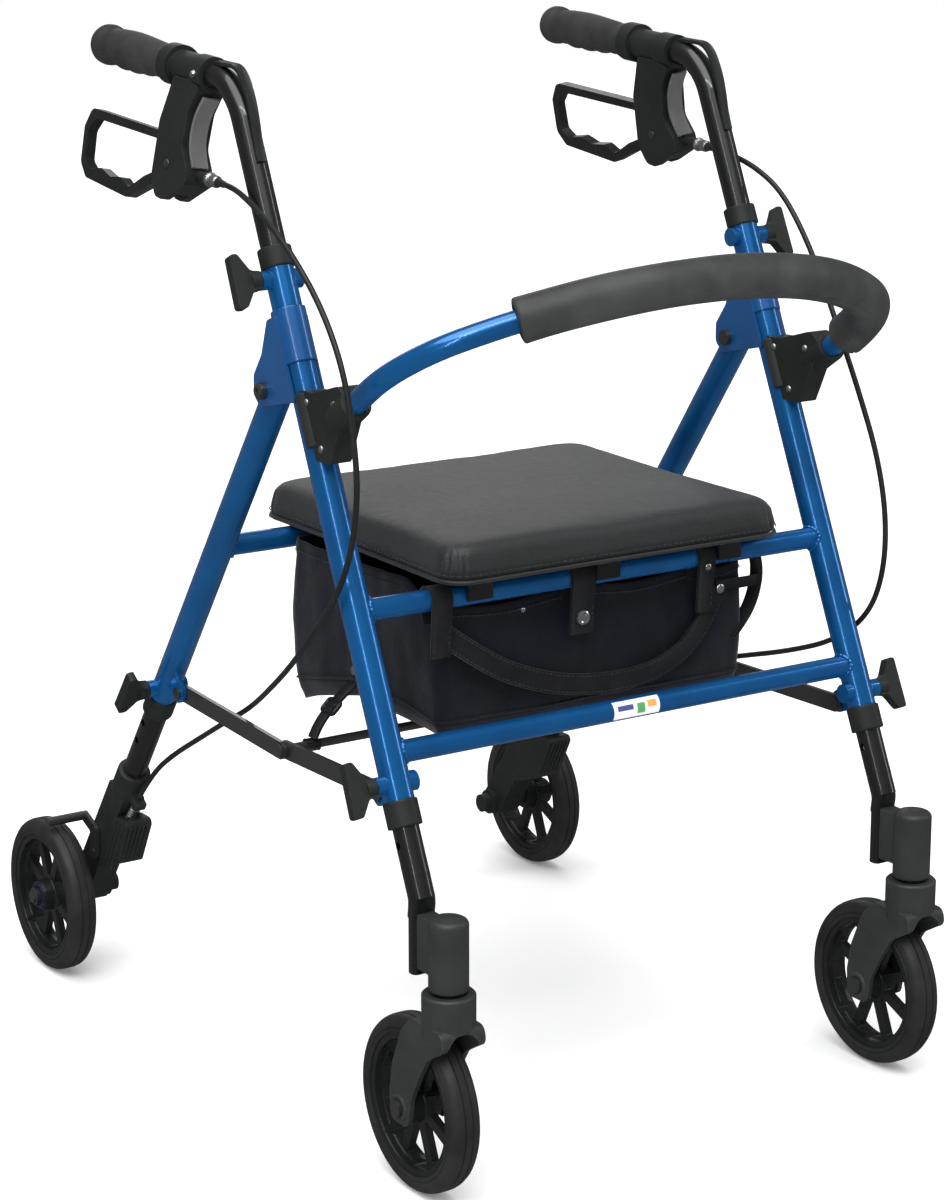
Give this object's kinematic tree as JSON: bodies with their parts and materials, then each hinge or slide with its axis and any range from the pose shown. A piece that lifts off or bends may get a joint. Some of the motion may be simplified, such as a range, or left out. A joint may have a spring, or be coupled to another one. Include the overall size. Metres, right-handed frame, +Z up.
{
  "type": "rollator walker",
  "caption": "Folding rollator walker with swivelling front casters, braked rear wheels, lever brakes, flip-up padded seat over a bag, and a curved padded backrest.",
  "frame": {"origin": "on the floor under the middle of the walker, halfway between front and rear wheels", "axes": "+Z up, -Y the way it travels, +X to the right seen from the front"},
  "size_m": [0.606, 0.7709, 0.9169],
  "materials": {
    "blue_frame": "gloss metallic blue paint",
    "blue_sleeve": "moulded blue plastic",
    "black_tube": "gloss black paint",
    "dark_metal": "black paint",
    "zinc": "zinc plated",
    "black_plastic": "moulded, fine grain",
    "grip_rubber": "soft matt grip",
    "foam": "closed cell foam sleeve",
    "upholstery": "matt vinyl over foam",
    "bag_cloth": "navy coated nylon",
    "rim_black": "moulded spoked rim",
    "tread": "solid dark tyre",
    "cable_black": "vinyl cable housing"
  },
  "bodies": {
    "front_frame": {"front_leg_left": "blue_frame", "front_leg_right": "blue_frame", "seat_rail_front": "blue_frame", "lower_crossbar": "blue_frame", "hinge_brackets": "blue_sleeve", "hinge_bolts": "zinc", "backrest_brackets": "black_plastic", "front_leg_ferrules": "black_plastic", "bag": "bag_cloth", "pull_straps": "bag_cloth", "brake_cable_left": "cable_black", "brake_cable_right": "cable_black"},
    "rear_frame": {"rear_leg_left": "blue_frame", "rear_leg_right": "blue_frame", "seat_rail_rear": "blue_frame", "rear_leg_ferrules": "black_plastic"},
    "backrest": {"backrest_tube": "blue_frame", "backrest_pad": "foam"},
    "seat": {"seat_pad": "upholstery", "seat_board": "black_plastic", "seat_clips": "black_plastic"},
    "front_struts": {"front_struts": "dark_metal", "strut_cross_rod": "zinc"},
    "rear_struts": {"rear_struts": "dark_metal"},
    "handle_left": {"handle_tube_left": "black_tube", "hand_grip_left": "grip_rubber", "brake_housing_left": "black_plastic"},
    "brake_lever_left": {"brake_lever_left": "black_plastic"},
    "front_extension_left": {"front_extension_left": "black_tube", "stem_housing_left": "black_plastic"},
    "caster_fork_left": {"caster_fork_left": "black_plastic", "caster_axle_left": "zinc"},
    "caster_wheel_left": {"caster_rim_left": "rim_black", "caster_tyre_left": "tread"},
    "rear_extension_left": {"rear_extension_left": "black_tube", "brake_bracket_left": "black_plastic"},
    "rear_wheel_left": {"rear_rim_left": "rim_black", "rear_tyre_left": "tread"},
    "brake_arm_left": {"brake_arm_left": "zinc"},
    "handle_knob_left": {"handle_knob_left": "black_plastic"},
    "front_knob_left": {"front_knob_left": "black_plastic"},
    "rear_knob_left": {"rear_knob_left": "black_plastic"},
    "handle_right": {"handle_tube_right": "black_tube", "hand_grip_right": "grip_rubber", "brake_housing_right": "black_plastic"},
    "brake_lever_right": {"brake_lever_right": "black_plastic"},
    "front_extension_right": {"front_extension_right": "black_tube", "stem_housing_right": "black_plastic"},
    "caster_fork_right": {"caster_fork_right": "black_plastic", "caster_axle_right": "zinc"},
    "caster_wheel_right": {"caster_rim_right": "rim_black", "caster_tyre_right": "tread"},
    "rear_extension_right": {"rear_extension_right": "black_tube", "brake_bracket_right": "black_plastic"},
    "rear_wheel_right": {"rear_rim_right": "rim_black", "rear_tyre_right": "tread"},
    "brake_arm_right": {"brake_arm_right": "zinc"},
    "handle_knob_right": {"handle_knob_right": "black_plastic"},
    "front_knob_right": {"front_knob_right": "black_plastic"},
    "rear_knob_right": {"rear_knob_right": "black_plastic"}
  },
  "joints": [
    {"name": "fold", "type": "hinge", "parent": "front_frame", "child": "rear_frame", "pos_m": [0, -0.091, 0.634], "axis": [-1, 0, 0], "range_deg": [0, 40], "deforming": ["bag", "pull_straps", "brake_cable_left", "brake_cable_right"]},
    {"name": "front_strut_turn", "type": "hinge", "parent": "front_frame", "child": "front_struts", "pos_m": [0, -0.247, 0.322], "axis": [1, 0, 0], "range_deg": [0, 56.34]},
    {"name": "rear_strut_turn", "type": "hinge", "parent": "rear_frame", "child": "rear_struts", "pos_m": [0, 0.097, 0.324], "axis": [-1, 0, 0], "range_deg": [0, 50.42]},
    {"name": "seat_flip", "type": "hinge", "parent": "front_frame", "child": "seat", "pos_m": [0, -0.213, 0.469], "axis": [1, 0, 0], "range_deg": [0, 90]},
    {"name": "backrest_slide", "type": "slide", "parent": "front_frame", "child": "backrest", "axis": [0, -0.8339, 0.5519], "range_m": [0, 0.05]},
    {"name": "handle_left_height", "type": "slide", "parent": "front_frame", "child": "handle_left", "axis": [0, 0.4131, 0.9107], "range_m": [-0.06, 0.08]},
    {"name": "brake_lever_left_squeeze", "type": "hinge", "parent": "handle_left", "child": "brake_lever_left", "pos_m": [-0.25624, 0.05206, 0.80756], "axis": [0.9848, 0.0121, -0.1732], "range_deg": [0, 9]},
    {"name": "front_leg_left_height", "type": "slide", "parent": "front_frame", "child": "front_extension_left", "axis": [0, 0.4131, 0.9107], "range_m": [-0.025, 0.025]},
    {"name": "caster_left_swivel", "type": "hinge", "parent": "front_extension_left", "child": "caster_fork_left", "pos_m": [-0.242, -0.351, 0.2], "axis": [0, 0, 1], "continuous": true},
    {"name": "caster_left_roll", "type": "hinge", "parent": "caster_fork_left", "child": "caster_wheel_left", "pos_m": [-0.242, -0.307, 0.075], "axis": [-1, 0, 0], "continuous": true},
    {"name": "rear_leg_left_height", "type": "slide", "parent": "rear_frame", "child": "rear_extension_left", "axis": [0, -0.5805, 0.8143], "range_m": [-0.025, 0.025]},
    {"name": "rear_wheel_left_roll", "type": "hinge", "parent": "rear_extension_left", "child": "rear_wheel_left", "pos_m": [-0.283, 0.3075, 0.075], "axis": [-1, 0, 0], "continuous": true},
    {"name": "brake_arm_left_press", "type": "hinge", "parent": "rear_extension_left", "child": "brake_arm_left", "pos_m": [-0.242, 0.266, 0.124], "axis": [-1, 0, 0], "range_deg": [0, 8.4]},
    {"name": "handle_knob_left_turn", "type": "hinge", "parent": "front_frame", "child": "handle_knob_left", "pos_m": [-0.242, -0.09609, 0.72672], "axis": [-1, 0, 0], "continuous": true},
    {"name": "front_knob_left_turn", "type": "hinge", "parent": "front_frame", "child": "front_knob_left", "pos_m": [-0.242, -0.27207, 0.33877], "axis": [-1, 0, 0], "continuous": true},
    {"name": "rear_knob_left_turn", "type": "hinge", "parent": "rear_frame", "child": "rear_knob_left", "pos_m": [-0.242, 0.13161, 0.32173], "axis": [-1, 0, 0], "continuous": true},
    {"name": "handle_right_height", "type": "slide", "parent": "front_frame", "child": "handle_right", "axis": [0, 0.4131, 0.9107], "range_m": [-0.06, 0.08]},
    {"name": "brake_lever_right_squeeze", "type": "hinge", "parent": "handle_right", "child": "brake_lever_right", "pos_m": [0.25624, 0.05206, 0.80756], "axis": [0.9848, -0.0121, 0.1732], "range_deg": [0, 9]},
    {"name": "front_leg_right_height", "type": "slide", "parent": "front_frame", "child": "front_extension_right", "axis": [0, 0.4131, 0.9107], "range_m": [-0.025, 0.025]},
    {"name": "caster_right_swivel", "type": "hinge", "parent": "front_extension_right", "child": "caster_fork_right", "pos_m": [0.242, -0.351, 0.2], "axis": [0, 0, 1], "continuous": true},
    {"name": "caster_right_roll", "type": "hinge", "parent": "caster_fork_right", "child": "caster_wheel_right", "pos_m": [0.242, -0.307, 0.075], "axis": [-1, 0, 0], "continuous": true},
    {"name": "rear_leg_right_height", "type": "slide", "parent": "rear_frame", "child": "rear_extension_right", "axis": [0, -0.5805, 0.8143], "range_m": [-0.025, 0.025]},
    {"name": "rear_wheel_right_roll", "type": "hinge", "parent": "rear_extension_right", "child": "rear_wheel_right", "pos_m": [0.283, 0.3075, 0.075], "axis": [-1, 0, 0], "continuous": true},
    {"name": "brake_arm_right_press", "type": "hinge", "parent": "rear_extension_right", "child": "brake_arm_right", "pos_m": [0.242, 0.266, 0.124], "axis": [-1, 0, 0], "range_deg": [0, 8.4]},
    {"name": "handle_knob_right_turn", "type": "hinge", "parent": "front_frame", "child": "handle_knob_right", "pos_m": [0.242, -0.09609, 0.72672], "axis": [1, 0, 0], "continuous": true},
    {"name": "front_knob_right_turn", "type": "hinge", "parent": "front_frame", "child": "front_knob_right", "pos_m": [0.242, -0.27207, 0.33877], "axis": [1, 0, 0], "continuous": true},
    {"name": "rear_knob_right_turn", "type": "hinge", "parent": "rear_frame", "child": "rear_knob_right", "pos_m": [0.242, 0.13161, 0.32173], "axis": [1, 0, 0], "continuous": true}
  ],
  "couplings": [
    {"joint": "front_strut_turn", "follows": "fold", "ratio": 1.4085},
    {"joint": "rear_strut_turn", "follows": "fold", "ratio": 1.2605},
    {"joint": "brake_arm_left_press", "follows": "brake_lever_left_squeeze", "ratio": 0.9333},
    {"joint": "brake_arm_right_press", "follows": "brake_lever_right_squeeze", "ratio": 0.9333}
  ]
}
